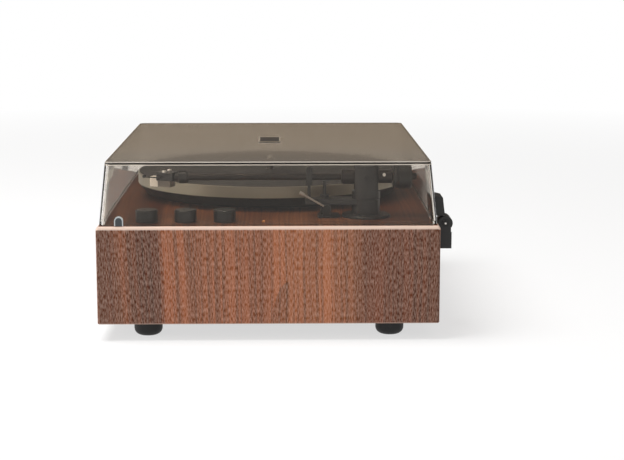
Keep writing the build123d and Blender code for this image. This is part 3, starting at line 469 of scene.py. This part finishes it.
FINISHES = {
    walnut_wrap(): ["plinth_cabinet"],
    plain("hardboard, pressed brown", "#4a3a2d", 0.75, grain_mm=1.5, grain_depth=0.05): [
        "bottom_panel",
    ],
    plain("particle board, raw", "#8a7355", 0.85, grain_mm=2.0, grain_depth=0.2): [
        "speaker_baffle",
    ],
    smoked_acrylic(): ["dust_cover"],
    plain("ABS, black, fine-textured mould", "#1b1a1a", 0.42, grain_mm=0.7, grain_depth=0.03): [
        "grille_frame", "connector_plate", "hinge_brackets", "hinge_sockets", "power_inlet",
        "speaker_baskets", "board_parts", "control_bodies",
    ],
    plain("ABS, black, satin knob", "#171615", 0.34, grain_mm=0.5, grain_depth=0.01): [
        "knob_1", "knob_2", "knob_3",
    ],
    plain("natural rubber, black, moulded", "#0d0c0c", 0.55, grain_mm=0.6, grain_depth=0.03): [
        "feet",
    ],
    two_colours_by_place(
        "silicone rubber, blue-grey with a pale skin", "#343b40", "#b4bcbe", bumper_skin
    ): ["bumpers"],
    plain("rubber mat, black", "#33312e", 0.7, grain_mm=0.8, grain_depth=0.05): [
        "platter_mat", "drive_belt",
    ],
    turned_platter(): ["platter"],
    two_colours_by_place(
        "anodised aluminium, bronze rim round a dark field", "#3a332c", "#b3a592",
        above(BADGE_RIM_LOW, MASK_SOFT), metallic=(0.3, 0.2), roughness=0.45,
    ): ["cover_badge"],
    plain(
        "anodised aluminium, black satin", "#37322f", 0.30, metallic=0.6, grain_mm=0.4,
        grain_depth=0.01,
    ): ["arm_tube", "arm_block", "arm_tail"],
    plain(
        "powder coat, black satin", "#252322", 0.40, grain_mm=0.5, grain_depth=0.02, coat=0.2
    ): [
        "arm_base", "arm_column", "arm_bracket", "arm_rest", "cue_base", "arm_yoke", "arm_collar",
        "headshell", "lift_bar",
    ],
    plain("cast zinc, black satin paint", "#272523", 0.38, grain_mm=0.5, grain_depth=0.02): [
        "counterweight",
    ],
    plain("stainless steel, polished", "#c9c7c3", 0.18, metallic=1.0): [
        "foot_flanges", "socket_sleeves",
    ],
    plain("nickel-plated steel, satin", "#f4f1ea", 0.35, metallic=0.5): ["arm_screws"],
    # Painted highlight: the tip above the dome level is near white and the shaft darker, standing
    # in for the glint on the tip
    two_colours_by_place(
        "steel, satin, with a painted highlight on its tip", "#6a655f", "#f6f3ec",
        above(SPINDLE_DOME, 0.2 * MM), metallic=(0.6, 0.3),
    ): ["spindle"],
    plain("steel, blackened and oiled", "#232222", 0.4, metallic=0.4): [
        "pivot_screws", "finger_lift",
    ],
    # Painted highlight: a pale, more metallic spot round the pin's axis, standing in for the glint
    # on its end
    two_colours_by_place(
        "steel pin, black oxide with a bright centre", "#1d1c1c", "#d9d6d0",
        within(HINGE_AXIS, 1.0 * MM), metallic=(0.3, 0.9),
    ): ["hinge_pins"],
    two_colours_by_place(
        "steel lever rod, bright, on a black hub", "#c4beb5", "#1f1e1e",
        within(LEVER_HUB, 3.9 * MM), metallic=(0.7, 0.2),
    ): ["cue_lever"],
    plain("zinc-plated steel, blackened", "#4b4a4a", 0.35, metallic=1.0): [
        "bottom_screws", "rear_screws", "motor_screws", "motor", "motor_plate", "deck_nuts",
    ],
    plain("brass, turned", "#b08d4c", 0.3, metallic=1.0): [
        "bearing_housing", "motor_pulley", "weight_sleeve",
    ],
    plain("acetal, dark grey, moulded", "#2a2a2a", 0.5): ["sub_platter"],
    plain("ABS, warm grey, moulded", "#8a8176", 0.4): ["cartridge"],
    plain("ABS, ivory, moulded", "#fbf3e4", 0.4): ["stylus"],
    grille_weave(): ["grille_cloth"],
    plain("pressed paper, black", "#1a1a1a", 0.9): ["speaker_cones"],
    plain("glass epoxy board, green", "#1f5a38", 0.4): ["circuit_board"],
    plain("polypropylene, red", "#9c1712", 0.4): ["socket_rings"],
    plain("polycarbonate lens, amber", "#e9a15c", 0.15): ["lamp"],
}
for finish, names in FINISHES.items():
    for name in names:
        mesh = nodes[name].data
        mesh.materials.clear()
        mesh.materials.append(finish)


def new_object(name, data):
    made = bpy.data.objects.new(name, data)
    bpy.context.collection.objects.link(made)
    return made


def tree_for(name, inputs):
    # An empty geometry tree that takes the named inputs
    tree = bpy.data.node_groups.new(name, "GeometryNodeTree")
    tree.interface.new_socket("Geometry", in_out="INPUT", socket_type="NodeSocketGeometry")
    for label, kind, value in inputs:
        item = tree.interface.new_socket(label, in_out="INPUT", socket_type=kind)
        item.default_value = value
    tree.interface.new_socket("Geometry", in_out="OUTPUT", socket_type="NodeSocketGeometry")
    return tree


def run_tree(tree, name, values):
    # What the tree makes of the values, as a plain mesh object at the origin
    holder = new_object(name + "_holder", bpy.data.meshes.new(name + "_holder"))
    modifier = holder.modifiers.new(name, "NODES")
    modifier.node_group = tree
    for item in tree.interface.items_tree:
        if item.item_type == "SOCKET" and item.in_out == "INPUT" and item.name in values:
            modifier[item.identifier] = values[item.name]
    result = holder.evaluated_get(bpy.context.evaluated_depsgraph_get())
    mesh = bpy.data.meshes.new_from_object(result)
    bpy.data.objects.remove(holder)
    return new_object(name, mesh)


def mat_rib_tree(finish):
    # Concentric ribs on the mat: one ring laid out again and again, growing by the pitch
    tree = tree_for("mat ribs", [
        ("First Radius", "NodeSocketFloat", 0.055), ("Pitch", "NodeSocketFloat", 0.003),
        ("Count", "NodeSocketInt", 10), ("Rib Width", "NodeSocketFloat", 0.001),
        ("Level", "NodeSocketFloat", 0.0), ("Centre X", "NodeSocketFloat", 0.0),
        ("Centre Y", "NodeSocketFloat", 0.0),
    ])
    given = add(tree, "NodeGroupInput").outputs
    row = add(tree, "GeometryNodePoints", Count=given["Count"], Radius=0.001).outputs[0]
    ring = add(
        tree, "GeometryNodeCurvePrimitiveCircle", {"mode": "RADIUS"}, Resolution=120, Radius=1.0
    ).outputs["Curve"]
    number = add(tree, "GeometryNodeInputIndex").outputs[0]
    radius = add(
        tree, MATH, TIMES_PLUS, i0=number, i1=given["Pitch"], i2=given["First Radius"]
    ).outputs[0]
    size = add(tree, JOIN, X=radius, Y=radius, Z=1.0).outputs[0]
    rings = add(
        tree, "GeometryNodeInstanceOnPoints", Points=row, Instance=ring, Scale=size
    ).outputs[0]
    real = add(tree, "GeometryNodeRealizeInstances", Geometry=rings).outputs[0]
    half = add(tree, MATH, TIMES, i0=given["Rib Width"], i1=0.5).outputs[0]
    section = add(
        tree, "GeometryNodeCurvePrimitiveCircle", {"mode": "RADIUS"}, Resolution=6, Radius=half
    ).outputs["Curve"]
    swept = add(
        tree, "GeometryNodeCurveToMesh", Curve=real, Profile_Curve=section, Fill_Caps=False
    ).outputs[0]
    centre = add(
        tree, JOIN, X=given["Centre X"], Y=given["Centre Y"], Z=given["Level"]
    ).outputs[0]
    moved = add(tree, "GeometryNodeTransform", Geometry=swept, Translation=centre).outputs[0]
    painted = add(tree, "GeometryNodeSetMaterial", Geometry=moved, Material=finish).outputs[0]
    whole = add(tree, "GeometryNodeRealizeInstances", Geometry=painted).outputs[0]
    add(tree, "NodeGroupOutput", Geometry=whole)
    return tree


ribs = run_tree(mat_rib_tree(nodes["platter_mat"].data.materials[0]), "mat_ribs", {
    "First Radius": 56 * MM, "Pitch": 4.0 * MM, "Count": 22, "Rib Width": 1.0 * MM,
    "Level": MAT_TOP - 0.25 * MM, "Centre X": PLATTER_AXIS[0], "Centre Y": PLATTER_AXIS[1],
})
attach(ribs, "platter")


def box_piece(name, low, high, finish):
    (x0, y0, z0), (x1, y1, z1) = low, high
    points = [(x, y, z) for x in (x0, x1) for y in (y0, y1) for z in (z0, z1)]
    faces = [
        (0, 1, 3, 2), (4, 6, 7, 5), (0, 4, 5, 1), (2, 3, 7, 6), (0, 2, 6, 4), (1, 5, 7, 3),
    ]
    mesh = bpy.data.meshes.new(name)
    mesh.from_pydata(points, [], faces)
    mesh.materials.append(finish)
    return new_object(name, mesh)


# Pointer lines: white paint in the groove on each knob's top, on its front half
LINE_HALF_WIDTH = 0.45 * MM
LINE_FRONT, LINE_BACK = 9.6 * MM, 3.0 * MM
LINE_BED, LINE_FACE = 0.4 * MM, 0.1 * MM
pointer_paint = plain("acrylic paint, off-white", "#e8e4da", 0.5)
for i in range(3):
    y = KNOB_Y + i * KNOB_PITCH
    line = box_piece(
        "knob_line_" + str(i + 1),
        (KNOB_X - LINE_HALF_WIDTH, y - LINE_FRONT, KNOB_TOP - LINE_BED),
        (KNOB_X + LINE_HALF_WIDTH, y - LINE_BACK, KNOB_TOP - LINE_FACE),
        pointer_paint,
    )
    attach(line, "knob_" + str(i + 1))

# Floor: a pale sheet that runs on past the picture. Seen straight on, in gloss or through the cover
# it has a glow of its own, stronger further off, so it is white to the horizon and keeps the shadow
GLOW_NEAR = 0.64
GLOW_NEAR_TO, GLOW_FULL_FROM = 0.7, 2.5
floor_paper = material("paper sweep, white and matt")
floor_tree = floor_paper.node_tree
paper = add(floor_tree, "ShaderNodeBsdfDiffuse", Color=(0.92, 0.92, 0.92, 1.0)).outputs[0]
light_paper = add(
    floor_tree, "ShaderNodeEmission", Color=(1.0, 1.0, 1.0, 1.0), Strength=1.0
).outputs[0]
rays = add(floor_tree, "ShaderNodeLightPath").outputs
seen = rays["Is Camera Ray"]
for kind in ("Is Glossy Ray", "Is Transmission Ray"):
    seen = add(floor_tree, MATH, LARGER, i0=seen, i1=rays[kind]).outputs[0]
floor_place = add(floor_tree, COORDINATES).outputs["Object"]
distance = add(floor_tree, VECTOR_MATH, LENGTH, i0=floor_place).outputs["Value"]
glow = add(
    floor_tree, MAP_RANGE, Value=distance, i1=GLOW_NEAR_TO, i2=GLOW_FULL_FROM, i3=GLOW_NEAR,
    i4=1.0,
).outputs[0]
share = add(floor_tree, MATH, TIMES, i0=seen, i1=glow).outputs[0]
mixed = add(floor_tree, "ShaderNodeMixShader", i0=share, i1=paper, i2=light_paper).outputs[0]
finish_surface(floor_tree, mixed)
floor = box_piece("floor", (-60.0, -24.0, -0.02), (6.0, 24.0, -0.0002), floor_paper)

# Three softboxes that all face the plinth: place, width, height and power in watts
AIM = Vector((0.0, 0.0, 0.1))
LAMPS = {
    "overhead softbox": ((0.25, -0.8, 2.1), 1.3, 1.3, 50),
    "camera side softbox": ((2.6, -1.4, 1.3), 1.4, 1.0, 8),
    "front softbox": ((0.7, -2.6, 0.55), 1.2, 0.7, 16),
}
for name, (place, width, height, power) in LAMPS.items():
    light = bpy.data.lights.new(name, "AREA")
    light.shape = "RECTANGLE"
    light.size = width
    light.size_y = height
    light.energy = power
    lamp = new_object(name, light)
    lamp.location = place
    lamp.rotation_euler = (AIM - Vector(place)).to_track_quat("-Z", "Y").to_euler()

# World: a dim room by height of view, browner and darker low down, with a grey ceiling. The wall
# behind the camera is paler, and shows faintly in the cover's side
ROOM = [
    (0.0, (0.42, 0.37, 0.31)), (0.080, (0.10, 0.06, 0.02)), (0.112, (0.09, 0.055, 0.018)),
    (0.126, (0.06, 0.05, 0.04)), (0.40, (0.22, 0.21, 0.20)), (0.75, (0.32, 0.31, 0.30)),
    (1.0, (0.34, 0.33, 0.32)),
]
CAMERA_WALL = (0.50, 0.48, 0.46, 1.0)
world = bpy.data.worlds.new("studio")
bpy.context.scene.world = world
world.use_nodes = True
sky = world.node_tree
sky.nodes.clear()
direction = add(sky, COORDINATES).outputs["Generated"]
way = add(sky, SPLIT, Vector=direction).outputs
room = ramp(sky, way["Z"], ROOM)
wall_share = add(sky, MAP_RANGE, Value=way["X"], i1=0.3, i2=0.8, i3=0.0, i4=1.0).outputs[0]
room = add(sky, MIX, BLEND, i0=wall_share, i6=room, i7=CAMERA_WALL).outputs[2]
backdrop = add(sky, "ShaderNodeBackground", Color=room, Strength=1.0).outputs[0]
add(sky, "ShaderNodeOutputWorld", Surface=backdrop)

# Camera: on the right side, 1.72 m off and a little above the cover; turn and dip in radians
EYE = Vector((1.72264, 0.00519, 0.36995))
TURN = 0.0196
DIP = 0.1682
ahead = Vector((
    -math.cos(TURN) * math.cos(DIP), math.sin(TURN) * math.cos(DIP), -math.sin(DIP)
))
right = Vector((math.sin(TURN), math.cos(TURN), 0.0))
up = right.cross(ahead)
camera_data = bpy.data.cameras.new("camera")
camera_data.sensor_width = 36.0
camera_data.lens = 88.61
camera = new_object("camera", camera_data)
camera.matrix_world = Matrix.Translation(EYE) @ Matrix((
    (right.x, up.x, -ahead.x), (right.y, up.y, -ahead.y), (right.z, up.z, -ahead.z)
)).to_4x4()
bpy.context.scene.camera = camera
bpy.context.scene.view_settings.view_transform = "Standard"
